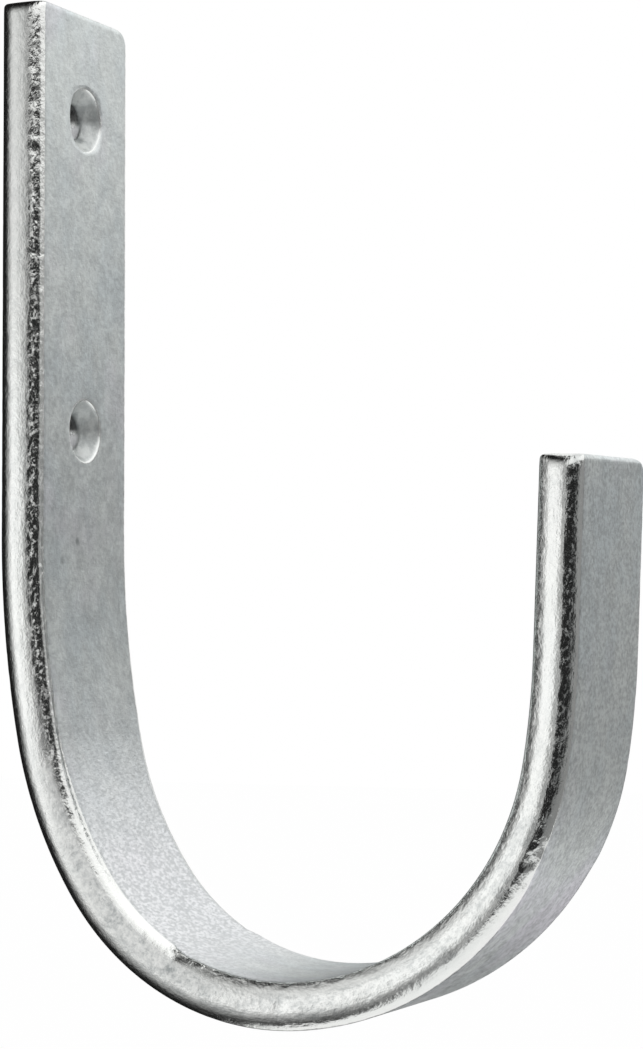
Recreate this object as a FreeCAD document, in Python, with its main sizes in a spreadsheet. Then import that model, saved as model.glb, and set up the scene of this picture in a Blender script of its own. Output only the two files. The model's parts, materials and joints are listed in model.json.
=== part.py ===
import FreeCAD, Part
import math
import os

import Sketcher
from FreeCAD import Vector

# Wall hook bent from one length of flat steel bar with rounded long edges.
# Frame: the wall is the plane Y = 0 and the hook stands out towards -Y, +Z is up,
# X runs across the bar, and the origin is midway between the two screw holes.

NODE = "utility_hook"

# Driving dimensions, in millimetres and degrees.
# The bend is five tangent arcs, given by the radius of the inner face and the turn.
SIZES = (
    ("bar_width", "25"),
    ("bar_thickness", "6"),
    ("edge_radius", "1.7"),
    ("corner_radius", "3"),
    ("hole_spacing", "41.4"),
    ("top_margin", "14"),
    ("bend_margin", "13.8"),
    ("hole_diameter", "4.5"),
    ("countersink_diameter", "8.5"),
    ("countersink_angle", "82"),
    ("neck_radius", "137"),
    ("neck_turn", "10.7"),
    ("heel_radius", "48.2"),
    ("heel_turn", "23.1"),
    ("bowl_radius", "27.9"),
    ("bowl_turn", "54.7"),
    ("toe_radius", "32.9"),
    ("lip_radius", "105.5"),
    ("lip_turn", "7.1"),
    ("tip_length", "23.9"),
    ("tip_lean", "2.2"),
)

# Sizes that follow from the driving ones.
# Each arc begins at an angle turned from straight down, at a point of the outer face.
ARCS = ("neck", "heel", "bowl", "toe", "lip")
FOLLOWS = [
    ("top_end", "hole_spacing / 2 + top_margin"),
    ("tip_angle", "180 - tip_lean"),
    ("neck_angle", "0"),
    ("heel_angle", "neck_angle + neck_turn"),
    ("bowl_angle", "heel_angle + heel_turn"),
    ("toe_angle", "bowl_angle + bowl_turn"),
    ("lip_angle", "tip_angle - lip_turn"),
    ("neck_depth", "0"),
    ("neck_height", "-(hole_spacing / 2 + bend_margin)"),
]
for arc, after in zip(ARCS, ARCS[1:] + ("tip",)):
    reach = f"({arc}_radius + bar_thickness)"
    here = f"{arc}_angle * 1 deg"
    there = f"{after}_angle * 1 deg"
    FOLLOWS.append((f"{after}_depth", f"{arc}_depth + {reach} * (cos({there}) - cos({here}))"))
    FOLLOWS.append((f"{after}_height", f"{arc}_height + {reach} * (sin({here}) - sin({there}))"))
FOLLOWS.append(("end_depth", "tip_depth - tip_length * sin(tip_lean * 1 deg)"))
FOLLOWS.append(("end_height", "tip_height + tip_length * cos(tip_lean * 1 deg)"))

doc = FreeCAD.newDocument(NODE)
sheet = doc.addObject("Spreadsheet::Sheet", "Sizes")
rows = list(SIZES) + [(alias, "=" + formula) for alias, formula in FOLLOWS]
for row, (alias, content) in enumerate(rows, 1):
    sheet.set(f"A{row}", alias)
    sheet.set(f"B{row}", content)
    sheet.setAlias(f"B{row}", alias)
doc.recompute()


def size(alias):
    """Value of one cell of the sheet as a plain number."""
    return float(sheet.get(alias))


body = doc.addObject("PartDesign::Body", "Hook")
body.Label = NODE


def plane(role):
    """One of the body's own origin planes."""
    return next(item for item in body.Origin.OriginFeatures if item.Role == role)


def sketch_on(role, name):
    """New sketch of the body on one of its origin planes."""
    sketch = body.newObject("Sketcher::SketchObject", name)
    sketch.AttachmentSupport = [(plane(role), "")]
    sketch.MapMode = "FlatFace"
    return sketch


def bind(sketch, constraint, name, formula):
    """Add a dimension to a sketch, named and driven by the sheet."""
    index = sketch.addConstraint(constraint)
    sketch.renameConstraint(index, name)
    sketch.setExpression(f"Constraints.{name}", formula)


# Side profile: back leg, bend and front leg, with an outer and an inner face
START, END, CENTRE = range(1, 4)


def inward(angle):
    """Direction from the outer face to the inner one where the bar has turned so far."""
    turned = math.radians(angle)
    return Vector(-math.cos(turned), math.sin(turned), 0)


def outer_point(joint):
    return Vector(size(f"{joint}_depth"), size(f"{joint}_height"), 0)


thickness = size("bar_thickness")
profile = sketch_on("YZ_Plane", "SideProfile")


def add_line(first, last):
    return profile.addGeometry(Part.LineSegment(first, last), False)


def add_arc(joint, after, radius):
    centre = outer_point(joint) + inward(size(f"{joint}_angle")) * (size(f"{joint}_radius") + thickness)
    circle = Part.Circle(centre, Vector(0, 0, 1), radius)
    first = -math.radians(size(f"{after}_angle"))
    last = -math.radians(size(f"{joint}_angle"))
    return profile.addGeometry(Part.ArcOfCircle(circle, first, last), False)


joints = list(zip(ARCS, ARCS[1:] + ("tip",)))
top = Vector(0, size("top_end"), 0)
end = Vector(size("end_depth"), size("end_height"), 0)
shank = inward(0) * thickness
tip = inward(size("tip_angle")) * thickness

outer_leg = add_line(top, outer_point("neck"))
outer_arcs = [add_arc(a, b, size(f"{a}_radius") + thickness) for a, b in joints]
outer_tip = add_line(outer_point("tip"), end)
inner_leg = add_line(top + shank, outer_point("neck") + shank)
inner_arcs = [add_arc(a, b, size(f"{a}_radius")) for a, b in joints]
inner_tip = add_line(outer_point("tip") + tip, end + tip)
top_line = add_line(top, top + shank)
end_line = add_line(end, end + tip)

fixed = []
for leg, arcs, lip in ((outer_leg, outer_arcs, outer_tip), (inner_leg, inner_arcs, inner_tip)):
    fixed.append(Sketcher.Constraint("Tangent", leg, END, arcs[0], END))
    for arc, after in zip(arcs, arcs[1:]):
        fixed.append(Sketcher.Constraint("Tangent", arc, START, after, END))
    fixed.append(Sketcher.Constraint("Tangent", arcs[-1], START, lip, START))
for outer, inner in zip(outer_arcs, inner_arcs):
    fixed.append(Sketcher.Constraint("Coincident", outer, CENTRE, inner, CENTRE))
fixed += [
    Sketcher.Constraint("Coincident", top_line, START, outer_leg, START),
    Sketcher.Constraint("Coincident", top_line, END, inner_leg, START),
    Sketcher.Constraint("Coincident", end_line, START, outer_tip, END),
    Sketcher.Constraint("Coincident", end_line, END, inner_tip, END),
    Sketcher.Constraint("PointOnObject", outer_leg, START, -2),
    Sketcher.Constraint("Vertical", outer_leg),
    Sketcher.Constraint("Vertical", inner_leg),
    Sketcher.Constraint("Horizontal", top_line),
    Sketcher.Constraint("Parallel", outer_tip, inner_tip),
    Sketcher.Constraint("Perpendicular", end_line, outer_tip),
]
profile.addConstraint(fixed)
bind(profile, Sketcher.Constraint("DistanceY", -1, 1, outer_leg, START, size("top_end")),
     "top_end", "Sizes.top_end")
bind(profile, Sketcher.Constraint("DistanceY", outer_leg, END, -1, 1, -size("neck_height")),
     "bend_start", "-Sizes.neck_height")
bind(profile, Sketcher.Constraint("Distance", top_line, thickness),
     "bar_thickness", "Sizes.bar_thickness")
bind(profile, Sketcher.Constraint("Distance", outer_tip, size("tip_length")),
     "tip_length", "Sizes.tip_length")
for (joint, after), arc in zip(joints, inner_arcs):
    bind(profile, Sketcher.Constraint("Radius", arc, size(f"{joint}_radius")),
         f"{joint}_radius", f"Sizes.{joint}_radius")
for (joint, after), arc in zip(joints, outer_arcs):
    turn = size(f"{after}_angle") - size(f"{joint}_angle")
    bind(profile, Sketcher.Constraint("Angle", arc, math.radians(turn)),
         f"{joint}_turn", f"(Sizes.{after}_angle - Sizes.{joint}_angle) * 1 deg")

bar = body.newObject("PartDesign::Pad", "Bar")
bar.Profile = profile
bar.SideType = "Symmetric"
bar.setExpression("Length", "Sizes.bar_width")
doc.recompute()

# Rounded long edges of the bar stock, limited by half the thickness
close = thickness / 1000
end_pairs = ((top, top + shank), (end, end + tip))


def at(vertex, point):
    """True where a vertex of the solid stands at a point of the side profile."""
    return abs(vertex.Y - point.x) < close and abs(vertex.Z - point.y) < close


def is_long(edge):
    """True for an edge that follows the bar, not one across its width or across an end."""
    first, last = edge.Vertexes[0], edge.Vertexes[-1]
    if abs(first.X - last.X) > close:
        return False
    for one, other in end_pairs:
        if at(first, one) and at(last, other) or at(first, other) and at(last, one):
            return False
    return True


rounding = body.newObject("PartDesign::Fillet", "LongEdges")
rounding.Base = (bar, [f"Edge{number}" for number, edge in enumerate(bar.Shape.Edges, 1) if is_long(edge)])
rounding.setExpression("Radius", "min(Sizes.edge_radius; 0.45 * Sizes.bar_thickness)")
doc.recompute()


def crop_corners(name, offset):
    """Cut both corners of one end round, straight through the bar.

    The sketch lies in the middle of the thickness, with its origin on the end line."""
    sketch = sketch_on("XZ_Plane", f"{name}Corners")
    for path, formula in offset:
        sketch.setExpression(f"AttachmentOffset.{path}", formula)
    half_width = size("bar_width") / 2
    radius = size("corner_radius")
    for side, word in ((-1, "left"), (1, "right")):
        centre = Vector(side * (half_width - radius), -radius, 0)
        circle = Part.Circle(centre, Vector(0, 0, 1), radius)
        angles = (0, math.pi / 2) if side > 0 else (math.pi / 2, math.pi)
        at_side, at_end = (START, END) if side > 0 else (END, START)
        arc = sketch.addGeometry(Part.ArcOfCircle(circle, *angles), False)
        points = [
            Vector(side * half_width, -radius, 0),
            Vector(side * (half_width + radius), -radius, 0),
            Vector(side * (half_width + radius), radius, 0),
            Vector(side * (half_width - radius), radius, 0),
            Vector(side * (half_width - radius), 0, 0),
        ]
        lines = [sketch.addGeometry(Part.LineSegment(a, b), False) for a, b in zip(points, points[1:])]
        sketch.addConstraint([
            Sketcher.Constraint("Coincident", lines[0], START, arc, at_side),
            Sketcher.Constraint("Coincident", lines[0], END, lines[1], START),
            Sketcher.Constraint("Coincident", lines[1], END, lines[2], START),
            Sketcher.Constraint("Coincident", lines[2], END, lines[3], START),
            Sketcher.Constraint("Coincident", lines[3], END, arc, at_end),
            Sketcher.Constraint("Horizontal", lines[0]),
            Sketcher.Constraint("Vertical", lines[1]),
            Sketcher.Constraint("Horizontal", lines[2]),
            Sketcher.Constraint("Vertical", lines[3]),
            Sketcher.Constraint("PointOnObject", arc, at_end, -1),
            Sketcher.Constraint("Horizontal", arc, CENTRE, arc, at_side),
            Sketcher.Constraint("Vertical", arc, CENTRE, arc, at_end),
        ])
        ends = (-1, 1, arc, at_side) if side > 0 else (arc, at_side, -1, 1)
        bind(sketch, Sketcher.Constraint("DistanceX", *ends, half_width),
             f"half_width_{word}", "Sizes.bar_width / 2")
        bind(sketch, Sketcher.Constraint("Radius", arc, radius),
             f"corner_radius_{word}", "Sizes.corner_radius")
        bind(sketch, Sketcher.Constraint("Distance", lines[0], radius),
             f"beyond_side_{word}", "Sizes.corner_radius")
        bind(sketch, Sketcher.Constraint("Distance", lines[3], radius),
             f"beyond_end_{word}", "Sizes.corner_radius")
    cut = body.newObject("PartDesign::Pocket", f"{name}Crop")
    cut.Profile = sketch
    cut.SideType = "Symmetric"
    cut.setExpression("Length", "Sizes.bar_thickness * 2")
    doc.recompute()
    return cut


# Cropped ends: the top of the back leg, and the tip, which leans out with the front leg
crop_corners("Top", (
    ("Base.y", "Sizes.top_end"),
    ("Base.z", "Sizes.bar_thickness / 2"),
))
crop_corners("Tip", (
    ("Base.y", "Sizes.end_height + Sizes.bar_thickness / 2 * sin(Sizes.tip_lean * 1 deg)"),
    ("Base.z", "-(Sizes.end_depth + Sizes.bar_thickness / 2 * cos(Sizes.tip_lean * 1 deg))"),
    ("Rotation.Axis.x", "1"),
    ("Rotation.Axis.y", "0"),
    ("Rotation.Axis.z", "0"),
    ("Rotation.Angle", "Sizes.tip_lean * 1 deg"),
))

# Two countersunk screw holes, drilled from the inner face of the back leg
places = sketch_on("XZ_Plane", "ScrewPlaces")
places.setExpression("AttachmentOffset.Base.z", "Sizes.bar_thickness")
for sign, word in ((1, "upper"), (-1, "lower")):
    centre = Vector(0, sign * size("hole_spacing") / 2, 0)
    circle = Part.Circle(centre, Vector(0, 0, 1), size("hole_diameter") / 2)
    hole = places.addGeometry(circle, False)
    places.addConstraint(Sketcher.Constraint("PointOnObject", hole, CENTRE, -2))
    bind(places, Sketcher.Constraint("Diameter", hole, size("hole_diameter")),
         f"hole_diameter_{word}", "Sizes.hole_diameter")
    pair = (-1, 1, hole, CENTRE) if sign > 0 else (hole, CENTRE, -1, 1)
    bind(places, Sketcher.Constraint("DistanceY", *pair, size("hole_spacing") / 2),
         f"from_middle_{word}", "Sizes.hole_spacing / 2")
doc.recompute()

before = body.Shape.Volume
screw_holes = body.newObject("PartDesign::Hole", "ScrewHoles")
screw_holes.Profile = places
doc.recompute()
screw_holes.ThreadType = "None"
screw_holes.DepthType = "ThroughAll"
screw_holes.HoleCutType = "Countersink"
screw_holes.HoleCutCustomValues = True
screw_holes.setExpression("Diameter", "Sizes.hole_diameter")
screw_holes.setExpression("HoleCutDiameter", "Sizes.countersink_diameter")
screw_holes.setExpression("HoleCutCountersinkAngle", "Sizes.countersink_angle * 1 deg")
body.Tip = screw_holes
doc.recompute()

failed = [item.Name for item in doc.Objects if "Invalid" in item.State or "Error" in item.State]
if failed:
    raise RuntimeError("not built: " + ", ".join(failed))
shape = body.Shape
if shape.isNull() or not shape.isValid() or len(shape.Solids) != 1:
    raise RuntimeError("the hook is not one sound solid")
if shape.Volume >= before:
    raise RuntimeError("the screw holes cut nothing")

os.makedirs("parts", exist_ok=True)
shape.exportStep(f"parts/{body.Label}.step")
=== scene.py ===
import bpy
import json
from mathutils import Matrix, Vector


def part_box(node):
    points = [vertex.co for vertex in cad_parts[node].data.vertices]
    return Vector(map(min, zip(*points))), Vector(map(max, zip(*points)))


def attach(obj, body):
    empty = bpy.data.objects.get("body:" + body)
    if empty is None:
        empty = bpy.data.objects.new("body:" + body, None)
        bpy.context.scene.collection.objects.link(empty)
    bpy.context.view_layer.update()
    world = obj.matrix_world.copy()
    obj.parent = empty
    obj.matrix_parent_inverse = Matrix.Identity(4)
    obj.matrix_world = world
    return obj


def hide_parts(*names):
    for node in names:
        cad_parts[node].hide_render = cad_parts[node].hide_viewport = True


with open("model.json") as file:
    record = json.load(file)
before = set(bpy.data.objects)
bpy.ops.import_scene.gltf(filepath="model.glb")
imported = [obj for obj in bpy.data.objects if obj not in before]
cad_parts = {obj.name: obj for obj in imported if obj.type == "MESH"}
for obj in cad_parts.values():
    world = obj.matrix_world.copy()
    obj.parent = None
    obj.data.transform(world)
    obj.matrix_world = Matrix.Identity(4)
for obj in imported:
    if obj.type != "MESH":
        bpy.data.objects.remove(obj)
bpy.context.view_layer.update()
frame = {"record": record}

import json
import math
from itertools import product

import bpy
import numpy as np
from bpy.props import FloatProperty, FloatVectorProperty, PointerProperty
from mathutils import Matrix, Vector

bl_info = {
    "name": "Round-edged wall hook",
    "version": (1, 0, 0),
    "blender": (4, 5, 0),
    "location": "3D View > Sidebar > Hook",
    "description": "Makes the worn plated bar of a bent wall hook and the studio it is shown in",
    "category": "Object",
}

NODE = "utility_hook"
BAR_LOW, BAR_HIGH = (Vector(corner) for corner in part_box(NODE))
SCREWS = next(m["dims"] for m in frame["record"]["mounts"] if m["name"] == "wall_screws")
MM = 0.001


class HookBarSizes(bpy.types.PropertyGroup):
    """Sizes of the flat bar, its bend and its screw holes."""

    width: FloatProperty(
        name="Bar width", description="Across the bar, over its rounded sides",
        default=BAR_HIGH.x - BAR_LOW.x, unit="LENGTH")
    thickness: FloatProperty(
        name="Bar thickness", description="Between the two wide faces", default=0.006, unit="LENGTH")
    crown: FloatProperty(
        name="Side crown", description="How far a rounded side stands out past its own two edges",
        default=0.0011, unit="LENGTH")
    crown_lean: FloatProperty(
        name="Crown lean", description="Slope by which the middle of a side leans to the inner face",
        default=0.18, min=0.0, max=0.3)
    edge_radius: FloatProperty(
        name="Edge radius", description="Rounding where a crowned side meets a wide face",
        default=0.0004, unit="LENGTH")
    pressed_radii: FloatVectorProperty(
        name="Pressed edge radii",
        description="Rounding of the inner edge of the heel and the outer edge of the toe",
        size=2, default=(0.0022, 0.0015), unit="LENGTH")
    corner_radii: FloatVectorProperty(
        name="End corner radii", description="Round corners of the cropped ends, on the +X and the -X side",
        size=2, default=(0.003, 0.0017), unit="LENGTH")
    slant: FloatProperty(
        name="Tip slant", description="Slope across the bar by which the front end is cropped askew",
        default=0.024)
    taper: FloatProperty(
        name="Tip taper", description="Share of its thickness that the front leg loses in the bending",
        default=0.05, min=0.0, max=0.2, subtype="FACTOR")
    rim_radius: FloatProperty(
        name="Hole rim radius", description="Rounding of the rims of the holes",
        default=0.0003, unit="LENGTH")
    end_rim: FloatProperty(
        name="End rim radius", description="Rounding of the rims of the cropped ends",
        default=0.0007, unit="LENGTH")
    top_height: FloatProperty(
        name="Top end height", description="Height of the top end above the middle of the holes",
        default=BAR_HIGH.z, unit="LENGTH")
    leg_length: FloatProperty(
        name="Straight back leg", description="From the top end to where the bend begins",
        default=0.0692, unit="LENGTH")
    bend_radii: FloatVectorProperty(
        name="Bend radii", description="Inner radii of the neck, heel, bowl, toe and lip arcs",
        size=5, default=(0.137, 0.0482, 0.0279, 0.0329, 0.1055), unit="LENGTH")
    bend_turns: FloatVectorProperty(
        name="Bend turns", description="Turns of the neck, heel, bowl, toe and lip arcs",
        size=5, default=[math.radians(turn) for turn in (10.7, 23.1, 54.7, 82.2, 7.1)], unit="ROTATION")
    tip_length: FloatProperty(
        name="Straight tip", description="Length of the straight end of the front leg",
        default=0.0239, unit="LENGTH")
    hole_spacing: FloatProperty(
        name="Hole spacing", description="Between the centres of the two screw holes",
        default=SCREWS["spacing_y_mm"] * MM, unit="LENGTH")
    hole_diameter: FloatProperty(
        name="Hole diameter", description="Bore of the screw holes",
        default=2 * SCREWS["hole_r_mm"] * MM, unit="LENGTH")
    sink_diameter: FloatProperty(
        name="Countersink diameter", description="Countersink on the inner face",
        default=0.0085, unit="LENGTH")
    sink_angle: FloatProperty(
        name="Countersink angle", description="Full angle of the countersink's cone",
        default=math.radians(82.0), unit="ROTATION")


class HookWear(bpy.types.PropertyGroup):
    """Colour of the plating and the marks of rolling, bending and use."""

    plating: FloatVectorProperty(
        name="Plating", description="Colour of the clean zinc", subtype="COLOR", size=3,
        min=0.0, max=1.0, default=(0.86, 0.90, 0.885))
    cool_tint: FloatVectorProperty(
        name="Cool tint", description="Bluish bloom on the zinc", subtype="COLOR", size=3,
        min=0.0, max=1.0, default=(0.78, 0.84, 0.85))
    warm_tint: FloatVectorProperty(
        name="Warm tint", description="Faint lilac bloom on the zinc", subtype="COLOR", size=3,
        min=0.0, max=1.0, default=(0.87, 0.865, 0.90))
    stain: FloatVectorProperty(
        name="Stain", description="Lilac stain on the outer face of the toe", subtype="COLOR", size=3,
        min=0.0, max=1.0, default=(0.865, 0.846, 0.905))
    fresh: FloatVectorProperty(
        name="Fresh zinc", description="Pale grainy zinc where the bend squeezed it",
        subtype="COLOR", size=3, min=0.0, max=1.0, default=(0.93, 0.935, 0.955))
    rolled: FloatVectorProperty(
        name="Rolled zinc", description="Slightly warmer zinc on the rolled sides", subtype="COLOR", size=3,
        min=0.0, max=1.0, default=(0.885, 0.893, 0.868))
    face_roughness: FloatProperty(
        name="Face roughness", description="Satin of the wide faces", default=0.40,
        min=0.0, max=1.0, subtype="FACTOR")
    side_roughness: FloatProperty(
        name="Side roughness", description="Brighter finish of the rolled sides", default=0.17,
        min=0.0, max=1.0, subtype="FACTOR")
    wave_depth: FloatProperty(
        name="Wave depth", description="Slow waves of the rolled bar", default=0.00002, unit="LENGTH")
    pit_depth: FloatProperty(
        name="Pit depth", description="Small pits in the rolled sides", default=0.000025, unit="LENGTH")
    burr_depth: FloatProperty(
        name="Burr depth", description="Ragged line where the sides meet the wide faces",
        default=0.00006, unit="LENGTH")
    hole_dents: FloatVectorProperty(
        name="Hole dents", description="Unevenness of the upper and the lower countersink",
        size=2, default=(0.0003, 0.00006), unit="LENGTH")


class HookStudio(bpy.types.PropertyGroup):
    """Floor, lamp, sky and camera."""

    floor_height: FloatProperty(
        name="Floor height", description="Height of the pale floor", default=-0.42, unit="LENGTH")
    softbox_power: FloatProperty(
        name="Softbox power", description="Watts of the lamp beside the hook", default=0.024)
    sky: FloatProperty(
        name="Sky", description="Strength of the soft light from all round", default=1.0)
    camera_place: FloatVectorProperty(
        name="Camera place", description="Where the camera stands", size=3, subtype="TRANSLATION",
        default=(-0.32618, -0.18881, -0.04747))
    camera_turn: FloatProperty(
        name="Camera turn", description="Angle of the view from the X axis towards the wall",
        default=math.radians(24.478), unit="ROTATION")
    camera_rise: FloatProperty(
        name="Camera rise", description="How far the view tilts up",
        default=math.radians(2.219), unit="ROTATION")
    camera_lens: FloatProperty(
        name="Lens", description="Focal length on a 36 mm frame, in millimetres", default=96.873)


# Numpy surfaces

def spaced(stops, step):
    """Values through every stop, with even gaps of about one step between neighbouring stops."""
    counts = np.maximum(1, np.round(np.diff(stops) / step)).astype(int)
    runs = [np.linspace(a, b, n, endpoint=False) for a, b, n in zip(stops, stops[1:], counts)]
    return np.concatenate(runs + [stops[-1:]])


def smooth(low, high, value):
    """Smooth step: 0 below low, 1 above high, and 3 t squared minus 2 t cubed between them."""
    t = np.clip((value - low) / (high - low), 0.0, 1.0)
    return t * t * (3.0 - 2.0 * t)


def stretch(value, rise, fall):
    """1 on a stretch of values, with a smooth step up over the rise and one down over the fall."""
    return smooth(*rise, value) * (1.0 - smooth(*fall, value))


# Odd factors that mix the three places of a lattice corner and the seed into one 32-bit key
CORNER_FACTORS = np.array([73856093, 19349663, 83492791], np.uint64)
SEED_FACTOR, KEY_FACTOR = 2654435761, np.uint64(0x45D9F3B)
KEY_BITS, HALF_KEY = np.uint64(0xFFFFFFFF), np.uint64(16)


def lattice_noise(points, cell, seed):
    """Value noise from -1 to 1: hashed values at the corners of a box lattice of the given cell, blended
    between the eight corners round a point by the fade 6 t^5 - 15 t^4 + 10 t^3 along each axis."""
    place = points / np.asarray(cell)
    base = np.floor(place)
    t = place - base
    fade = t * t * t * (t * (t * 6.0 - 15.0) + 10.0)
    base = base.astype(np.int64)
    total = np.zeros(len(points))
    for corner in product((0, 1), repeat=3):
        spot = (base + corner).astype(np.uint64)
        key = (spot * CORNER_FACTORS).sum(1, dtype=np.uint64)
        key = (key + np.uint64(seed * SEED_FACTOR)) & KEY_BITS
        for _ in range(2):
            key = ((key ^ (key >> HALF_KEY)) * KEY_FACTOR) & KEY_BITS
        value = (key ^ (key >> HALF_KEY)).astype(float) / 0x7FFFFFFF - 1.0
        weight = np.where(np.array(corner, bool), fade, 1.0 - fade).prod(1)
        total += value * weight
    return total


def bar_stretches(sizes):
    """Lengths and curvatures of the bar's middle line: straight leg, five arcs, straight tip."""
    radii = np.array(sizes.bend_radii) + sizes.thickness / 2
    lengths = np.concatenate([[sizes.leg_length], radii * np.array(sizes.bend_turns), [sizes.tip_length]])
    return lengths, np.concatenate([[0.0], 1.0 / radii, [0.0]])


def chord(length, curve, heading):
    """Step along a stretch: the chord of an arc is its length times sin(h) / h, where h is half the turn,
    in the direction halfway through the turn; with no curvature that is the straight step itself."""
    half_turn = curve * length / 2
    reach = length * np.sinc(half_turn / np.pi)
    middle = heading + half_turn
    return np.stack([-np.sin(middle) * reach, -np.cos(middle) * reach], axis=-1)


def bend_bar(points, sizes):
    """Carries the straight bar (across, through, along) round the hook's middle line: a point goes to the
    line's point at its length along, plus its height through the bar times the inward normal there."""
    lengths, curves = bar_stretches(sizes)
    starts = np.concatenate([[0.0], np.cumsum(lengths)])
    headings = np.concatenate([[0.0], np.cumsum(lengths * curves)])
    first = np.array([[-sizes.thickness / 2, sizes.top_height]])
    joints = np.concatenate([first, first + np.cumsum(chord(lengths, curves, headings[:-1]), axis=0)])
    along = points[:, 2]
    which = np.clip(np.searchsorted(starts, along, side="right") - 1, 0, len(lengths) - 1)
    step = along - starts[which]
    line = joints[which] + chord(step, curves[which], headings[which])
    turned = headings[which] + curves[which] * step
    y = line[:, 0] - np.cos(turned) * points[:, 1]
    z = line[:, 1] + np.sin(turned) * points[:, 1]
    return np.stack([points[:, 0], y, z], axis=1)


# Cells across a wide face beside the hole, over the hole, round one edge and round one crowned side
BESIDE, OVER, EDGE, SIDE = 8, 20, 6, 20
FACE = 2 * BESIDE + OVER
CHAIN = 2 * EDGE + SIDE
RING = 2 * FACE + 2 * CHAIN
# Sections round an end corner; rows of a hole from its square block to its circle, over the lip, down the
# cone, down the bore and over the back rim
CORNER_STEPS = 12
DRAW_ROWS, LIP_ROWS, CONE_ROWS, WALL_ROWS, BACK_ROWS = 6, 4, 10, 7, 3
# Half of the square block of the mesh round a hole, and the usual gap between two sections
HOLE_BLOCK = 0.006
STATION_STEP = 0.00036
# How much the inside of a hole counts as a side
HOLE_SIDE = 0.8

# Lengths along the bar over which the edges of the heel and the toe begin and cease to be pressed, over
# which the heel begins and ceases to be squeezed, and where the stain on the toe lies and how far it reaches
HEEL_PRESSED = (0.092, 0.106), (0.1295, 0.1320)
TOE_PRESSED = (0.146, 0.158), (0.1830, 0.1860)
HEEL_SQUEEZED = (0.084, 0.120), (0.126, 0.148)
STAIN_PLACE, STAIN_REACH = 0.1785, 0.008

# Share of the heel's pressing that the back leg has, and the share of the length where the tip tapers
LEG_PRESSED = 0.4
TAPER_SPAN = 0.6, 0.9

# Least crowns of the +X and the -X side at the ends, and length over which the slant of the tip begins
LEAST_CROWNS = 0.0008, 0.00015
SLANT_REACH = 0.009

# Lean of a side: reach of its bell curve, strength halfway between its two halves and how much they differ
# from that, and how far in the leaning side is set
LEAN_REACH, LEAN_STRENGTH, LEAN_CHANGE, LEAN_INSET = 0.0025, 0.65, 0.35, 0.0007


def hole_places(sizes):
    """Lengths along the bar of the upper and the lower hole."""
    middle = sizes.top_height
    return middle - sizes.hole_spacing / 2, middle + sizes.hole_spacing / 2


def bar_stations(sizes):
    """Lengths along the bar at which it has a section. Near an end they are the corner radius times
    one minus the cosine of even angles, so that the round corner has even steps."""
    total = bar_stretches(sizes)[0].sum()
    corner = max(sizes.corner_radii) * (1.0 - np.cos(np.linspace(0.0, np.pi / 2, CORNER_STEPS + 1)))
    upper, lower = hole_places(sizes)
    stops = np.array([
        corner[-1], upper - HOLE_BLOCK, upper + HOLE_BLOCK, lower - HOLE_BLOCK, lower + HOLE_BLOCK,
        total - corner[-1]])
    return np.concatenate([corner[:-1], spaced(stops, STATION_STEP), total - corner[-2::-1]])


def column(values):
    """One value a station, laid out to spread over the points of its section."""
    return values[:, None]


def side_chains(sizes, along, corner, least_crown):
    """One side of the bar at each station, from the inner to the outer face: turn of the normal from the
    side's own direction, distance from the middle plane, height through the bar, and the distances at
    which the two wide faces end.

    A side is an arc through both its edges, of radius (h^2 + c^2) / 2c for the crown c and half thickness
    h, and a small arc of the edge radius touches it and the wide face. The edge radius grows where the
    bending pressed the inner edge of the heel and the outer edge of the toe. The middle of the side leans
    by a slope that dies away from it as a bell curve, stronger on its outer half. Near an end the half
    width follows a quarter circle of the corner radius, the crown goes down with it to its least height,
    and both half sizes draw in by a second, smaller quarter circle for the rim."""
    total = along[-1]
    left = np.minimum(along, total - along)
    rim = sizes.end_rim
    into = np.clip(corner - left, 0.0, corner)
    half_width = sizes.width / 2 - corner + np.sqrt(corner ** 2 - into ** 2)
    crown = np.clip(half_width - (sizes.width / 2 - sizes.crown), least_crown, sizes.crown)
    into = np.clip(rim - left, 0.0, rim)
    draw = rim - np.sqrt(rim ** 2 - into ** 2)
    half_width = half_width - draw
    half = sizes.thickness / 2 * (1.0 - sizes.taper * smooth(*TAPER_SPAN, along / total)) - draw
    rise, fall = HEEL_PRESSED
    inner_pressed = (LEG_PRESSED + (1.0 - LEG_PRESSED) * smooth(*rise, along)) * (1.0 - smooth(*fall, along))
    outer_pressed = stretch(along, *TOE_PRESSED)
    radius = (half ** 2 + crown ** 2) / (2.0 * crown)
    middle = half_width - radius

    turns, across, through, flats = [], [], [], []
    for pressed, full, sign in zip((inner_pressed, outer_pressed), sizes.pressed_radii, (1.0, -1.0)):
        edge = sizes.edge_radius + (full - sizes.edge_radius) * pressed
        flat = middle + np.sqrt((radius - edge) ** 2 - (half - edge) ** 2)
        swing = np.arctan2(half - edge, flat - middle)
        edge_turn = np.pi / 2 + (column(swing) - np.pi / 2) * np.linspace(0.0, 1.0, EDGE + 1)[None, :]
        side_turn = column(swing) * np.linspace(1.0, 0.0, SIDE // 2 + 1)[None, 1:]
        turns.append(sign * np.concatenate([edge_turn, side_turn], axis=1))
        across.append(np.concatenate([
            column(flat) + column(edge) * np.cos(edge_turn),
            column(middle) + column(radius) * np.cos(side_turn)], axis=1))
        through.append(sign * np.concatenate([
            column(half - edge) + column(edge) * np.sin(edge_turn),
            column(radius) * np.sin(side_turn)], axis=1))
        flats.append(flat)
    turn, x, h = (
        np.concatenate([inner, outer[:, -2::-1]], axis=1) for inner, outer in (turns, across, through))
    strength = LEAN_STRENGTH - LEAN_CHANGE * np.tanh(h / MM)
    bulge = h * np.exp(-(h / LEAN_REACH) ** 2) * strength + LEAN_INSET
    return turn, x - sizes.crown_lean * column(crown / sizes.crown) * bulge, h, flats


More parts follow.
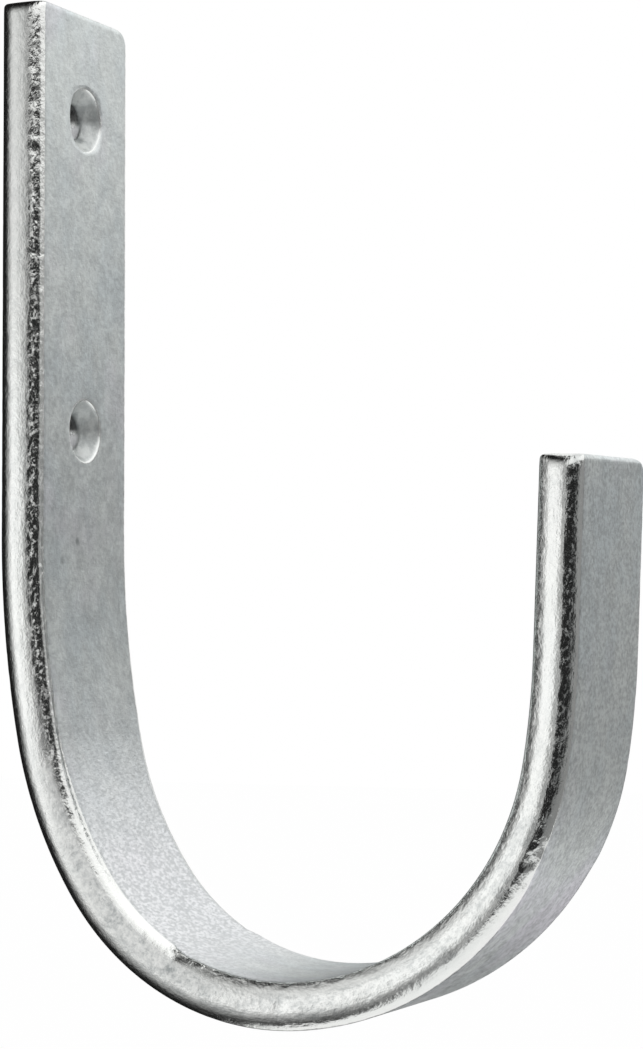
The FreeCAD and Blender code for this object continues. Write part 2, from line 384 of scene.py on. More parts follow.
def face_rows(right, left):
    """Places across a wide face from its left to its right end: even steps beside the hole, and even
    steps over the block that holds the hole."""
    lines = np.concatenate([
        np.linspace(-1.0, 0.0, BESIDE, endpoint=False), np.zeros(OVER + 1),
        np.linspace(0.0, 1.0, BESIDE + 1)[1:]])
    blocks = np.concatenate([np.full(BESIDE, -1.0), np.linspace(-1.0, 1.0, OVER + 1), np.full(BESIDE, 1.0)])
    flat = np.where(blocks[None, :] < 0.0, column(left), column(right))
    block = flat * HOLE_BLOCK / np.where(blocks[None, :] < 0.0, left.max(), right.max())
    return lines[None, :] * (flat - block) + blocks[None, :] * block


def bar_sections(sizes, along):
    """Section of the bar at each length along it, as points and normals of shape (stations, RING, 3): the
    inner face as a straight row, one side, the outer face, the other side. Near the front end the points
    move along the bar by the slant times their place across it."""
    right, left = (side_chains(sizes, along, *ends) for ends in zip(sizes.corner_radii, LEAST_CROWNS))
    right_turn, right_x, right_h, right_flats = right
    left_turn, left_x, left_h, left_flats = left
    inner_x, outer_x = (face_rows(*flats) for flats in zip(right_flats, left_flats))
    inner_h = np.broadcast_to(right_h[:, :1], inner_x.shape)
    outer_h = np.broadcast_to(right_h[:, -1:], outer_x.shape)
    x = np.concatenate([inner_x[:, :-1], right_x[:, :-1], outer_x[:, :0:-1], -left_x[:, :0:-1]], axis=1)
    h = np.concatenate([inner_h[:, :-1], right_h[:, :-1], outer_h[:, :0:-1], left_h[:, :0:-1]], axis=1)
    up = np.ones_like(inner_x[:, 1:])
    nx = np.concatenate([0 * up, np.cos(right_turn[:, :-1]), 0 * up, -np.cos(left_turn[:, :0:-1])], axis=1)
    nh = np.concatenate([up, np.sin(right_turn[:, :-1]), -up, np.sin(left_turn[:, :0:-1])], axis=1)
    s = column(along) + sizes.slant * x * column(smooth(along[-1] - SLANT_REACH, along[-1], along))
    return np.stack([x, h, s], axis=2), np.stack([nx, nh, np.zeros_like(nx)], axis=2)


def hole_rows(sizes):
    """Rows of a hole from the block's rim on the inner face to the one on the back face: how far a row is
    drawn from the square rim to the circle, its radius, its height through the bar and its normal."""
    half = sizes.thickness / 2
    slope = sizes.sink_angle / 2
    bore = sizes.hole_diameter / 2
    rim = sizes.rim_radius
    brim = sizes.sink_diameter / 2
    mouth = brim - rim * math.tan((np.pi / 2 - slope) / 2)
    deep = (mouth - bore) / math.tan(slope)
    draw = smooth(0.0, 1.0, np.linspace(0.0, 1.0, DRAW_ROWS + 1))[1:]
    lip = np.linspace(0.0, np.pi / 2 - slope, LIP_ROWS + 1)[1:]
    lip_r = brim - rim * np.sin(lip)
    lip_h = half - rim * (1.0 - np.cos(lip))
    cone = np.linspace(0.0, 1.0, CONE_ROWS + 1)[1:]
    cone_r = lip_r[-1] + (bore - lip_r[-1]) * cone
    cone_h = lip_h[-1] + (half - deep - lip_h[-1]) * cone
    wall_h = np.linspace(half - deep, -half + rim, WALL_ROWS + 1)[1:]
    back = np.linspace(0.0, np.pi / 2, BACK_ROWS + 1)[1:]
    back_r = bore + rim * (1.0 - np.cos(back))
    back_h = -half + rim * (1.0 - np.sin(back))
    radius = np.concatenate([
        np.full(len(draw), brim), lip_r, cone_r,
        np.full(len(wall_h), bore), back_r, np.full(len(draw) - 1, back_r[-1])])
    height = np.concatenate([
        np.full(len(draw), half), lip_h, cone_h, wall_h, back_h, np.full(len(draw) - 1, -half)])
    drawn = np.concatenate([
        draw, np.ones(len(lip) + len(cone) + len(wall_h) + len(back)), draw[-2::-1]])
    tilt = np.concatenate([
        np.full(len(draw), np.pi / 2), np.pi / 2 - lip, np.full(len(cone), slope), np.zeros(len(wall_h)),
        -back, np.full(len(draw) - 1, -np.pi / 2)])
    return drawn, radius, height, tilt


def grid_quads(ids):
    """Quads of a grid of vertex numbers, wound so that rows crossed with columns point inwards."""
    return np.stack([ids[:-1, :-1], ids[1:, :-1], ids[1:, 1:], ids[:-1, 1:]], axis=2).reshape(-1, 4)


def straight_bar(sizes):
    """The bar before bending, in (across, through, along): one closed skin made of the sections, two end
    caps and two countersunk holes. Returns points, normals, quads and, for each point, how much it lies on
    a side, inside which hole, and whether it is on a line where a wide face ends."""
    along = bar_stations(sizes)
    body, body_normals = bar_sections(sizes, along)
    stations = len(along)
    ids = np.arange(stations * RING).reshape(stations, RING)
    wrapped = np.concatenate([ids, ids[:, :1]], axis=1)
    keep = np.ones((stations - 1, RING), bool)
    points, normals = [body.reshape(-1, 3)], [body_normals.reshape(-1, 3)]
    on_side = np.zeros((stations, RING))
    on_side[:, FACE + 1:FACE + CHAIN] = 1.0
    on_side[:, 2 * FACE + CHAIN + 1:] = 1.0
    # Lines where a wide face ends; the shader paints a thin line of shade along them
    on_crease = np.zeros((stations, RING))
    on_crease[:, [0, FACE, FACE + CHAIN, 2 * FACE + CHAIN]] = 1.0
    sides, holes = [on_side.ravel()], [np.zeros(ids.size)]
    quads = []
    count = ids.size

    drawn, radius, height, tilt = hole_rows(sizes)
    for number, centre in enumerate(hole_places(sizes), start=1):
        top, bottom = (int(np.argmin(abs(along - centre - side))) for side in (-HOLE_BLOCK, HOLE_BLOCK))
        first, last = BESIDE, BESIDE + OVER
        rows = np.arange(top, bottom)
        columns = np.arange(first, last)
        k = np.concatenate([np.full(OVER, top), rows, np.full(OVER, bottom), rows[::-1] + 1])
        j = np.concatenate([
            columns, np.full(len(rows), last), columns[::-1] + 1, np.full(len(rows), first)])
        inner, outer = ids[k, j], ids[k, 2 * FACE + CHAIN - j]
        keep[top:bottom, first:last] = False
        keep[top:bottom, 2 * FACE + CHAIN - last:2 * FACE + CHAIN - first] = False
        square = points[0][inner][:, [0, 2]] - [0.0, centre]
        angle = np.arctan2(square[:, 1], square[:, 0])
        ray = np.stack([np.cos(angle), np.sin(angle)], axis=1)
        flat = (1.0 - drawn)[:, None, None] * square + (drawn * radius)[:, None, None] * ray
        high = np.broadcast_to(height[:, None], flat.shape[:2])
        points.append(np.stack([flat[..., 0], high, flat[..., 1] + centre], axis=2).reshape(-1, 3))
        lean, lift = np.cos(tilt)[:, None], np.sin(tilt)[:, None]
        normals.append(np.stack([
            -lean * ray[:, 0], lift + 0 * angle, -lean * ray[:, 1]], axis=2).reshape(-1, 3))
        inside = np.repeat(np.where(drawn < 1.0, 0.0, number), len(angle))
        sides.append(np.where(inside > 0, HOLE_SIDE, 0.0))
        holes.append(inside)
        wall = np.arange(count, count + inside.size).reshape(len(drawn), -1)
        count += inside.size
        tube = np.concatenate([inner[None], wall, outer[None]])
        quads.append(grid_quads(np.concatenate([tube, tube[:, :1]], axis=1)))

    share = (np.arange(FACE + 1) / FACE)[None, :, None]
    skin = points[0]
    for station, outward in ((0, -1.0), (stations - 1, 1.0)):
        right = ids[station, FACE + np.arange(CHAIN + 1)]
        left = ids[station, (2 * FACE + CHAIN + np.arange(CHAIN, -1, -1)) % RING]
        cap = np.zeros((CHAIN + 1, FACE + 1), int)
        cap[:, 0], cap[:, -1] = left, right
        cap[0] = ids[station, :FACE + 1]
        cap[-1] = ids[station, 2 * FACE + CHAIN - np.arange(FACE + 1)]
        lines = skin[left][:, None] * (1.0 - share) + skin[right][:, None] * share
        lines = lines[1:-1, 1:-1].reshape(-1, 3)
        cap[1:-1, 1:-1] = np.arange(count, count + len(lines)).reshape(CHAIN - 1, FACE - 1)
        count += len(lines)
        points.append(lines)
        normals.append(np.tile([0.0, 0.0, outward], (len(lines), 1)))
        sides.append(np.zeros(len(lines)))
        holes.append(np.zeros(len(lines)))
        face = grid_quads(cap)
        quads.append(face[:, ::-1] if outward < 0 else face)

    quads.append(grid_quads(wrapped).reshape(stations - 1, RING, 4)[keep])
    join = np.concatenate
    creases = np.pad(on_crease.ravel(), (0, count - ids.size))
    return join(points), join(normals), join(quads), join(sides), join(holes), creases


# Dents: place across, through and along the bar, size across and along it, and depth, all in millimetres
DENTS = np.array([
    (-11.4, 2.3, 131.2, 0.7, 1.1, 0.28),
    (-11.0, 2.7, 132.8, 0.5, 0.7, 0.22),
    (-11.7, -1.9, 186.0, 0.6, 0.9, 0.22),
    (-11.3, -2.4, 184.2, 0.5, 1.2, 0.25),
    (-11.2, -2.5, 187.9, 0.5, 0.8, 0.20),
    (-12.3, -0.6, 159.0, 0.5, 0.9, 0.05),
    (-12.2, -0.9, 171.5, 0.6, 1.0, 0.05),
    (-12.4, 0.3, 148.0, 0.5, 0.8, 0.05),
    (-11.9, -1.5, 217.0, 0.4, 0.7, 0.15),
    (-11.9, 1.6, 98.0, 0.6, 1.6, 0.12),
    (12.3, 0.8, 120.0, 0.6, 1.2, 0.15),
    (11.6, -2.0, 176.0, 0.6, 0.9, 0.18),
])

# Places on the straight bar of two dark flecks under the lower hole
FLECKS = (-0.0020, 0.0030, 0.0701), (-0.0061, 0.0030, 0.0727)

# Lengths along the bar and, at each: how ragged its inner edge is, the height at which the torn band there
# starts, and how ragged its outer edge is
INNER_RAGGED = (0.090, 0.108, 0.128, 0.132, 0.150, 0.165), (1.0, 0.45, 0.35, 1.1, 1.1, 0.5)
INNER_START = (0.120, 0.130, 0.165, 0.185), (0.0011, 0.0020, 0.0020, 0.0012)
OUTER_RAGGED = (0.140, 0.150, 0.182, 0.188), (0.14, 0.25, 0.25, 0.9)

# Heights over which the torn band rises and then fades, counted from its start at the inner edge and from
# the middle of the bar at the outer edge, and the share that it loses
INNER_BAND = (0.0, 0.0007), (0.0008, 0.0014), 0.65
OUTER_BAND = (0.0008, 0.0018), (0.0019, 0.0026), 0.75

# Heights through the bar, from its middle: over which its outer face begins, over which the squeezing sets
# in, and over which it fades on the pressed edge
FACE_HEIGHTS = 0.0024, 0.0027
SQUEEZED_HEIGHTS, SPARED_HEIGHTS = (-0.002, 0.001), (0.0013, 0.0021)

# Heights over which the cone begins and ceases and the bore ceases, and distances from a hole's centre over
# which the upper half of the bore, which gets painted shade, and the lower half, which gets a painted
# highlight, begin
CONE_HEIGHTS, BORE_HEIGHTS = ((-0.0002, 0.0006), (0.0026, 0.0029)), (0.0002, 0.0008)
BORE_ABOVE, BORE_BELOW = (-0.0003, 0.0006), (-0.0001, 0.0006)

# Noises of the wear: size of a cell across, through and along the bar, and seed
SLOW_WAVES = (0.008, 0.008, 0.015), 1
STREAKS = (0.0008, 0.0008, 0.006), 2
FINE_PITS = (0.0007, 0.0007, 0.0009), 3
COARSE_PITS = (0.0015, 0.0015, 0.0022), 4
TEARS = (0.0008, 0.0008, 0.0011), 6
HOLE_LUMPS = ((0.0017, 0.0014, 0.0017), 11), ((0.0017, 0.0014, 0.0017), 12)


def torn_band(height, rise, fade, loss):
    """A smooth step up over the rise, which then loses a share over the fade."""
    return smooth(*rise, height) * (1.0 - loss * smooth(*fade, height))


def edge_nearness(points, on_side, in_hole):
    """How ragged a side is: most near the inner face of the back leg, where it was sheared, and near the
    outer face of the front leg, less right at a wide face, and nothing in the middle of the side. The shader
    also uses it for painted glints in the torn band and a painted dark reflection towards the outer face."""
    through, along = points[:, 1], points[:, 2]
    past_start = through - np.interp(along, *INNER_START)
    inner = torn_band(past_start, *INNER_BAND) * np.interp(along, *INNER_RAGGED)
    outer = torn_band(-through, *OUTER_BAND) * np.interp(along, *OUTER_RAGGED)
    return on_side * (in_hole == 0) * (inner + outer)


def toe_stain(points):
    """1 in the middle of a faint stain on the outer face of the toe, falling off as a bell curve."""
    gap = (points[:, 2] - STAIN_PLACE) / STAIN_REACH
    return np.exp(-gap ** 2) * smooth(*FACE_HEIGHTS, -points[:, 1])


def upset_share(points, on_side):
    """1 in the heel, where the bending squeezed the inner half of the bar and left it grainy; it fades
    along the bar at both ends, towards the outer face, and on the pressed inner edge."""
    through, along = points[:, 1], points[:, 2]
    squeezed = stretch(along, *HEEL_SQUEEZED) * smooth(*SQUEEZED_HEIGHTS, through)
    return squeezed * (1.0 - on_side * smooth(*SPARED_HEIGHTS, through))


def bore_shades(points, in_hole, sizes):
    """Where a point lies in a hole: 1 on the cone, which gets mottled painted shade, 1 in the upper half of
    the bore, which gets painted shade, 1 in its lower half, which gets a painted highlight.
    """
    through, along = points[:, 1], points[:, 2]
    hollow = in_hole > 0
    cone = hollow * stretch(through, *CONE_HEIGHTS)
    upper, lower = hole_places(sizes)
    above = np.where(in_hole == 1, upper, lower) - along
    bore = hollow * (1.0 - smooth(*BORE_HEIGHTS, through))
    return cone, bore * smooth(*BORE_ABOVE, above), bore * smooth(*BORE_BELOW, -above)


def wear_depths(points, on_side, in_hole, wear):
    """How far the surface lies under the clean bar: slow waves everywhere; on the sides, rolling streaks
    drawn out along the bar and pits where a fine noise is high; a ragged line near the edges; lumps of
    plating in the holes; and dents, each a bell curve round its place."""
    slow = 0.5 + 0.5 * lattice_noise(points, *SLOW_WAVES)
    depth = wear.wave_depth * (0.5 + slow)
    streak = 0.5 + 0.5 * lattice_noise(points, *STREAKS)
    fine = lattice_noise(points, *FINE_PITS)
    coarse = lattice_noise(points, *COARSE_PITS)
    pits = 0.6 * smooth(0.25, 0.85, fine) + smooth(0.5, 0.95, coarse)
    rolled = on_side * (in_hole == 0)
    depth = depth + rolled * wear.pit_depth * (0.3 * streak + pits)
    ragged = smooth(-0.2, 0.7, lattice_noise(points, *TEARS))
    depth = depth + edge_nearness(points, on_side, in_hole) * wear.burr_depth * ragged
    for number, (dent, noise) in enumerate(zip(wear.hole_dents, HOLE_LUMPS), start=1):
        lumps = 0.5 + 0.5 * lattice_noise(points, *noise)
        depth = depth + (in_hole == number) * dent * lumps
    gap = (points[:, None, :] - DENTS[None, :, :3] * MM) / (DENTS[None, :, [3, 3, 4]] * MM)
    dents = (np.exp(-(gap ** 2).sum(axis=2)) * DENTS[None, :, 5] * MM).sum(axis=1)
    return depth + dents * (in_hole == 0)


# Shader sockets

class Wire:
    """One socket of a node tree. Sums, differences and products add Math nodes."""

    def __init__(self, web, socket):
        self.web = web
        self.socket = socket

    def __add__(self, other):
        return self.web.maths("ADD", self, other)

    def __radd__(self, other):
        return self.web.maths("ADD", other, self)

    def __sub__(self, other):
        return self.web.maths("SUBTRACT", self, other)

    def __rsub__(self, other):
        return self.web.maths("SUBTRACT", other, self)

    def __mul__(self, other):
        return self.web.maths("MULTIPLY", self, other)

    def __rmul__(self, other):
        return self.web.maths("MULTIPLY", other, self)


class Web:
    """A node tree that grows by expressions."""

    def __init__(self, tree):
        self.tree = tree
        tree.nodes.clear()

    def node(self, kind, settings=None, sockets=None, output=0):
        """Adds a node: its settings are set first, then its sockets get values or links."""
        made = self.tree.nodes.new(kind)
        for name, value in (settings or {}).items():
            setattr(made, name, value)
        for key, value in (sockets or {}).items():
            if isinstance(value, Wire):
                self.tree.links.new(value.socket, made.inputs[key])
            else:
                made.inputs[key].default_value = value
        return Wire(self, made.outputs[output]) if made.outputs else None

    def point_value(self, name):
        """The number that a piece keeps for each of its points under a name."""
        return self.node("ShaderNodeAttribute", {"attribute_name": name}, output=2)

    def maths(self, operation, first, second):
        return self.node("ShaderNodeMath", {"operation": operation}, {0: first, 1: second})

    def ramp(self, value, low, high):
        """Smooth step of a value from 0 at low to 1 at high."""
        return self.node(
            "ShaderNodeMapRange", {"interpolation_type": "SMOOTHSTEP"},
            {"Value": value, "From Min": low, "From Max": high})

    def stretched(self, vector, factors):
        """A vector times three factors."""
        return self.node("ShaderNodeVectorMath", {"operation": "MULTIPLY"}, {0: vector, 1: factors})

    def distance(self, vector, place):
        """How far a vector's end is from a place."""
        return self.node("ShaderNodeVectorMath", {"operation": "DISTANCE"}, {0: vector, 1: place}, output=1)

    def noise(self, vector, detail=3.0, roughness=0.5):
        return self.node(
            "ShaderNodeTexNoise", {"noise_dimensions": "3D"},
            {"Vector": vector, "Scale": 1.0, "Detail": detail, "Roughness": roughness})

    def blended(self, factor, first, second):
        """Mix of two colours."""
        return self.node(
            "ShaderNodeMix", {"data_type": "RGBA"}, {0: factor, 6: first, 7: second}, output=2)


# Brightness of the darkest marks and of painted shade as a share of the cool tint, and of the painted shade
# in the upper half of the bores
DULL_SHARE, BORE_SHADE = 0.42, 0.03


def solid(colour):
    """A colour with full opacity."""
    return (*colour, 1.0)


def zinc_plating(wear):
    """Satin zinc on the wide faces and brighter rolled sides. The pattern lies on the straight bar, so it
    follows the bend: rolling streaks run along it, and the tints and grains keep their size. The squeezed
    heel is paler and matt, and pits and two flecks are darker. Painted shade darkens the lines where the
    wide faces end, the countersink cones, the upper halves of the bores and, as a painted dark reflection,
    the torn band towards the outer face. Painted glints are pale non-metal specks in the torn band, and a
    painted highlight is pale non-metal zinc in the lower halves of the bores."""
    material = bpy.data.materials.new("worn_zinc_plating")
    material.use_nodes = True
    web = Web(material.node_tree)
    spot = web.node("ShaderNodeAttribute", {"attribute_name": "straight_bar"}, output=1)
    side = web.point_value("on_side")
    ragged = web.point_value("near_edge")
    matt = web.point_value("upset")
    painted_edge_shade = web.point_value("painted_edge_shade")
    sunk = web.point_value("sunk")
    bore = web.point_value("bore")
    pale = web.point_value("pale")
    stain = web.point_value("stain")

    bloom = web.noise(web.stretched(spot, (110.0, 110.0, 70.0)), 4.0, 0.6)
    blush = web.noise(web.stretched(spot, (80.0, 140.0, 50.0)), 3.0, 0.55)
    cloud = web.noise(web.stretched(spot, (420.0, 420.0, 330.0)), 4.0, 0.65)
    grain = web.noise(web.stretched(spot, (1500.0, 1500.0, 1900.0)), 3.0, 0.7)
    streak = web.noise(web.stretched(spot, (1400.0, 1400.0, 60.0)), 3.0, 0.6)
    speck = web.noise(web.stretched(spot, (1900.0, 1900.0, 1500.0)), 3.0, 0.65)
    wrinkle = web.noise(web.stretched(spot, (1250.0, 1250.0, 2100.0)), 2.0, 0.6)
    torn = web.noise(web.stretched(spot, (1250.0, 1250.0, 850.0)), 2.0, 0.5)

    cool = web.blended(web.ramp(bloom, 0.36, 0.66), solid(wear.plating), solid(wear.cool_tint))
    blushed = web.blended(web.ramp(blush, 0.48, 0.70) * 0.8, cool, solid(wear.warm_tint))
    stained = web.blended(stain * web.ramp(bloom, 0.35, 0.60), blushed, solid(wear.stain))
    squeezed = web.blended(matt * 0.85, stained, solid(wear.fresh))
    tinted = web.blended(side * 0.85, squeezed, solid(wear.rolled))
    through, along = (web.node("ShaderNodeSeparateXYZ", None, {0: spot}, output=axis) for axis in (1, 2))
    outer = web.ramp(through, 0.0, -0.003)
    middle = web.ramp(through * through, 0.0019 ** 2, 0.0012 ** 2)
    bowl = web.ramp(along, 0.105, 0.135) * web.ramp(along, 0.205, 0.185)
    even = (
        web.ramp(grain, 0.66, 0.34) * 0.26 + web.ramp(cloud, 0.66, 0.36) * 0.20
        + (0.5 - grain) * outer * 0.9)
    sparkle = web.ramp(wrinkle, 0.66, 0.38) * 0.46 + web.ramp(cloud, 0.58, 0.36) * 0.06
    dull = even + (sparkle - even) * matt
    mottled = web.ramp(grain, 0.58, 0.38) * 0.3 + web.ramp(cloud, 0.54, 0.40) * 0.2
    pitted = web.ramp(speck, 0.58, 0.34) * 0.14 + web.ramp(cloud, 0.56, 0.36) * 0.10
    spots = pitted * (0.4 + middle * (0.6 + bowl * 1.3)) + mottled * matt
    # Strength of the mottled painted shade in the countersink cones
    mottled_cone_shade = 0.25 + web.ramp(cloud, 0.60, 0.40) * 0.3
    flecks = sum(web.ramp(web.distance(spot, place), 0.0008, 0.0002) for place in FLECKS)
    # Painted shade: a thin dark line along each line where a wide face ends, mottled painted shade in the
    # countersink cones, and a painted dark reflection on the torn band towards the outer face; the two
    # flecks are real dark marks.
    painted_shade_and_flecks = painted_edge_shade * 0.16 + sunk * mottled_cone_shade + ragged * outer * 0.7 + flecks * 0.5
    dark_zinc = [DULL_SHARE * part for part in wear.cool_tint]
    marked_and_shaded = web.blended(dull + (spots - dull) * side + painted_shade_and_flecks, tinted, solid(dark_zinc))
    # Painted shade: the upper half of each bore goes nearly black
    shaded = web.blended(bore * 0.95, marked_and_shaded, solid([BORE_SHADE] * 3))
    # Painted highlight: the lower half of each bore gets pale zinc
    colour = web.blended(pale * 0.9, shaded, solid(wear.fresh))

    satin = wear.face_roughness + (grain - 0.5) * 0.25 + (cloud - 0.5) * 0.12
    bright = wear.side_roughness + (speck - 0.5) * 0.20 + matt * 0.34 + sunk * 0.45
    roughness = satin + (bright - satin) * side

    plain = (grain * 0.22 + cloud * 0.36) * (1.0 + matt * 1.6)
    uneven = 0.6 + web.ramp(bloom, 0.40, 0.60) * 0.3
    rolled = speck * (0.20 + matt * 0.5) + streak * 0.12 + cloud * 0.40 + (torn - 0.5) * ragged * uneven
    bump = web.node(
        "ShaderNodeBump", None,
        {"Strength": 1.0, "Distance": 0.0002, "Height": plain + (rolled - plain) * side})
    # Painted glints: pale non-metal specks in the torn band
    painted_glints = web.ramp(speck, 0.53, 0.64) * ragged * (1.0 - outer) * (1.0 - bowl)
    # The lower halves of the bores lose their metal for the painted highlight, and the painted glints lose
    # theirs too
    metal = 1.0 - matt * (0.25 + side * 0.35) - pale * 0.9 - painted_glints * 0.65
    skin = web.node(
        "ShaderNodeBsdfPrincipled", None,
        {"Base Color": colour, "Metallic": metal, "Roughness": roughness, "Normal": bump})
    web.node("ShaderNodeOutputMaterial", None, {"Surface": skin})
    return material


def mesh_object(name, points, quads, material):
    """An object at the origin with the given points and quads, shaded smooth."""
    mesh = bpy.data.meshes.new(name)
    mesh.vertices.add(len(points))
    mesh.vertices.foreach_set("co", np.ascontiguousarray(points, np.float32).ravel())
    mesh.loops.add(quads.size)
    mesh.loops.foreach_set("vertex_index", np.ascontiguousarray(quads, np.int32).ravel())
    mesh.polygons.add(len(quads))
    mesh.polygons.foreach_set("loop_start", np.arange(0, quads.size, 4, dtype=np.int32))
    mesh.polygons.foreach_set("use_smooth", np.ones(len(quads), bool))
    mesh.update(calc_edges=True)
    if mesh.validate():
        raise RuntimeError(f"{name} has faces that Blender had to mend")
    mesh.materials.append(material)
    piece = bpy.data.objects.new(name, mesh)
    bpy.context.scene.collection.objects.link(piece)
    return piece


def point_values(piece, name, values):
    """Keeps a number or a vector for each point of a piece, for its material."""
    vector = values.ndim == 2
    layer = piece.data.attributes.new(name, "FLOAT_VECTOR" if vector else "FLOAT", "POINT")
    flat = np.ascontiguousarray(values, np.float32).ravel()
    layer.data.foreach_set("vector" if vector else "value", flat)


class HOOK_OT_bar(bpy.types.Operator):
    """Makes the bent bar with its rounded sides, cropped ends and screw holes"""

    bl_idname = "hook.bar"
    bl_label = "Bent bar"

    def execute(self, context):
        sizes, wear = context.scene.hook_sizes, context.scene.hook_wear
        points, normals, quads, on_side, in_hole, on_crease = straight_bar(sizes)
        depth = wear_depths(points, on_side, in_hole, wear)
        worn = bend_bar(points - normals * depth[:, None], sizes)
        bar = mesh_object("hook_bar", worn, quads, zinc_plating(wear))
        point_values(bar, "straight_bar", points)
        point_values(bar, "on_side", on_side)
        point_values(bar, "near_edge", edge_nearness(points, on_side, in_hole))
        point_values(bar, "upset", upset_share(points, on_side))
        # Mask of the thin line of painted shade along the lines where the wide faces end
        point_values(bar, "painted_edge_shade", on_crease)
        # The cone gets mottled painted shade, the upper half of the bore painted shade and the lower half a
        # painted highlight
        cone, bore, pale = bore_shades(points, in_hole, sizes)
        point_values(bar, "sunk", cone)
        point_values(bar, "bore", bore)
        point_values(bar, "pale", pale)
        point_values(bar, "stain", toe_stain(points))
        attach(bar, "root")
        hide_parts(NODE)
        return {"FINISHED"}


# Middle of the hook, which the cards and the lamp stand round, and cells along one side of a card
HOOK_MIDDLE = Vector((0.0, -0.04, -0.04))
CARD_CELLS = 48

# Cards: name; first and last angle round the hook and their soft rims; lowest and highest elevation and
# their soft rims; distance; brightness
CARDS = (
    ("card_camera_side", (176.0, 237.0, 8.0, 11.0), (-33.0, 21.0, 3.0, 3.0), 0.65, 0.02),
    ("card_behind", (17.0, 186.0, 18.0, 18.0), (-65.0, 84.0, 4.0, 6.0), 0.40, 0.01),
    ("card_softbox", (96.0, 185.0, 42.0, 34.0), (-66.0, 62.0, 64.0, 48.0), 0.34, 0.85),
    ("card_right", (220.0, 352.0, 6.0, 10.0), (-28.0, 19.5, 6.0, 12.0), 0.80, 0.305),
    ("card_low_front", (213.0, 300.0, 6.0, 20.0), (-42.0, -12.0, 6.0, 8.0), 0.45, 0.26),
    ("card_low_right", (345.0, 390.0, 10.0, 10.0), (-50.0, 2.0, 6.0, 8.0), 0.40, 0.20),
    ("card_top", (186.0, 378.0, 30.0, 30.0), (24.0, 88.0, 24.0, 4.0), 0.50, 1.20),
)


# Colour of white light, brightness of the floor's paint, share of it that is plain white where it is seen
# directly, and half of its width
WHITE = (1.0, 1.0, 1.0, 1.0)
FLOOR_SHADE, FLOOR_WHITE, FLOOR_REACH = 0.96, 0.85, 6.0

# Lamp beside the hook: width and height, angle round the hook, distance, and how far under its middle
LAMP_WIDTH, LAMP_HEIGHT = 0.18, 0.15
LAMP_ANGLE, LAMP_DISTANCE, LAMP_DROP = math.radians(144.0), 0.3, 0.025


def card_surface(angles, heights, distance):
    """Part of a sphere round the hook: angle along one side of the grid and elevation along the other.
    Its cover falls smoothly to nothing towards all four rims."""
    turn, rise = np.meshgrid(*(np.linspace(*ends[:2], CARD_CELLS + 1) for ends in (angles, heights)))
    flat = distance * np.cos(np.radians(rise))
    points = np.stack([
        flat * np.cos(np.radians(turn)), flat * np.sin(np.radians(turn)),
        distance * np.sin(np.radians(rise))], axis=2) + np.array(HOOK_MIDDLE)
    cover = np.ones_like(turn)
    for value, (first, last, soft_first, soft_last) in ((turn, angles), (rise, heights)):
        cover = cover * stretch(value, (first, first + soft_first), (last - soft_last, last))
    quads = grid_quads(np.arange(turn.size).reshape(turn.shape))
    return points.reshape(-1, 3), quads, cover.ravel()


def card_paper(name, brightness):
    """Even paper that fades out where its cover goes to nothing."""
    material = bpy.data.materials.new(name)
    material.use_nodes = True
    web = Web(material.node_tree)
    cover = web.point_value("cover")
    clear = web.node("ShaderNodeBsdfTransparent")
    paper = web.node("ShaderNodeEmission", None, {"Color": solid([brightness] * 3), "Strength": 1.0})
    mixed = web.node("ShaderNodeMixShader", None, {0: cover, 1: clear, 2: paper})
    web.node("ShaderNodeOutputMaterial", None, {"Surface": mixed})
    return material


def seen_directly(web):
    """1 for rays from the camera, mirrors and glass, 0 for the soft light on matt surfaces."""
    rays = ("Is Camera Ray", "Is Glossy Ray", "Is Transmission Ray")
    camera, mirror, glass = (web.node("ShaderNodeLightPath", output=ray) for ray in rays)
    return 1.0 - (1.0 - camera) * (1.0 - mirror) * (1.0 - glass)


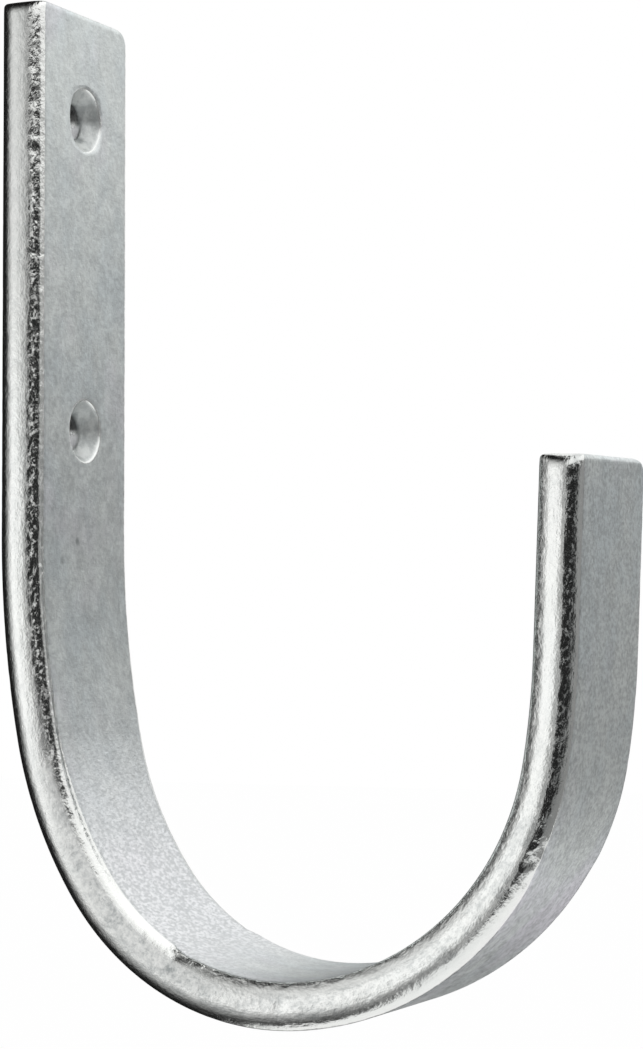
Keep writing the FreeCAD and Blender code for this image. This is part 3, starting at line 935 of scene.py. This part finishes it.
class HOOK_OT_studio(bpy.types.Operator):
    """Sets up the pale floor, the cards round the hook, the lamp, the sky and the camera"""

    bl_idname = "hook.studio"
    bl_label = "Studio"

    def execute(self, context):
        scene, studio = context.scene, context.scene.hook_studio
        scene.view_settings.view_transform = "Standard"
        self.sky(scene, studio)
        self.floor(studio)
        for name, *place, brightness in CARDS:
            points, quads, cover = card_surface(*place)
            card = mesh_object(name, points, quads, card_paper(name, brightness))
            point_values(card, "cover", cover)
            card.visible_camera = card.visible_diffuse = card.visible_shadow = False
            card.visible_transmission = card.visible_volume_scatter = False
        self.softbox(scene, studio)
        self.camera(scene, studio)
        return {"FINISHED"}

    def sky(self, scene, studio):
        world = bpy.data.worlds.new("white_studio")
        world.use_nodes = True
        web = Web(world.node_tree)
        light = web.node("ShaderNodeBackground", None, {"Color": WHITE, "Strength": studio.sky})
        web.node("ShaderNodeOutputWorld", None, {"Surface": light})
        scene.world = world

    def floor(self, studio):
        material = bpy.data.materials.new("pale_floor")
        material.use_nodes = True
        web = Web(material.node_tree)
        matt = web.node("ShaderNodeBsdfDiffuse", None, {"Color": solid([FLOOR_SHADE] * 3)})
        white = web.node("ShaderNodeEmission", None, {"Color": WHITE, "Strength": 1.0})
        share = seen_directly(web) * FLOOR_WHITE
        paint = web.node("ShaderNodeMixShader", None, {0: share, 1: matt, 2: white})
        web.node("ShaderNodeOutputMaterial", None, {"Surface": paint})
        across = np.linspace(-FLOOR_REACH, FLOOR_REACH, 3)
        x, y = np.meshgrid(across, across)
        points = np.stack([x, y, np.full_like(x, studio.floor_height)], axis=2).reshape(-1, 3)
        quads = grid_quads(np.arange(x.size).reshape(x.shape))[:, ::-1]
        mesh_object("studio_floor", points, quads, material)

    def softbox(self, scene, studio):
        lamp = bpy.data.lights.new("side_softbox", "AREA")
        lamp.shape = "RECTANGLE"
        lamp.size, lamp.size_y = LAMP_WIDTH, LAMP_HEIGHT
        lamp.energy = studio.softbox_power
        box = bpy.data.objects.new("side_softbox", lamp)
        offset = Vector((
            LAMP_DISTANCE * math.cos(LAMP_ANGLE), LAMP_DISTANCE * math.sin(LAMP_ANGLE), -LAMP_DROP))
        box.location = HOOK_MIDDLE + offset
        box.rotation_euler = (-offset).to_track_quat("-Z", "Y").to_euler()
        scene.collection.objects.link(box)

    def camera(self, scene, studio):
        turn, rise = studio.camera_turn, studio.camera_rise
        ahead = Vector((math.cos(turn) * math.cos(rise), math.sin(turn) * math.cos(rise), math.sin(rise)))
        right = Vector((math.sin(turn), -math.cos(turn), 0.0))
        above = right.cross(ahead)
        camera = bpy.data.objects.new("photo_camera", bpy.data.cameras.new("photo_camera"))
        camera.data.lens = studio.camera_lens
        camera.data.clip_start, camera.data.clip_end = 0.01, 50.0
        turned = Matrix((right, above, -ahead)).transposed().to_4x4()
        camera.matrix_world = Matrix.Translation(studio.camera_place) @ turned
        scene.collection.objects.link(camera)
        scene.camera = camera


class HOOK_PT_panel(bpy.types.Panel):
    """Lists the hook's pieces and their sizes"""

    bl_label = "Wall hook"
    bl_idname = "HOOK_PT_panel"
    bl_space_type = "VIEW_3D"
    bl_region_type = "UI"
    bl_category = "Hook"

    def draw(self, context):
        for operator, group in (
                (HOOK_OT_bar, context.scene.hook_sizes), (None, context.scene.hook_wear),
                (HOOK_OT_studio, context.scene.hook_studio)):
            box = self.layout.box()
            if operator:
                box.operator(operator.bl_idname)
            for name in group.__annotations__:
                box.prop(group, name)


GROUPS = {"hook_sizes": HookBarSizes, "hook_wear": HookWear, "hook_studio": HookStudio}
CLASSES = (*GROUPS.values(), HOOK_OT_bar, HOOK_OT_studio, HOOK_PT_panel)


def register():
    for kind in CLASSES:
        bpy.utils.register_class(kind)
    for name, group in GROUPS.items():
        setattr(bpy.types.Scene, name, PointerProperty(type=group))


def unregister():
    for name in GROUPS:
        delattr(bpy.types.Scene, name)
    for kind in reversed(CLASSES):
        bpy.utils.unregister_class(kind)


def main():
    register()
    bpy.ops.hook.bar()
    bpy.ops.hook.studio()


if __name__ == "__main__":
    main()
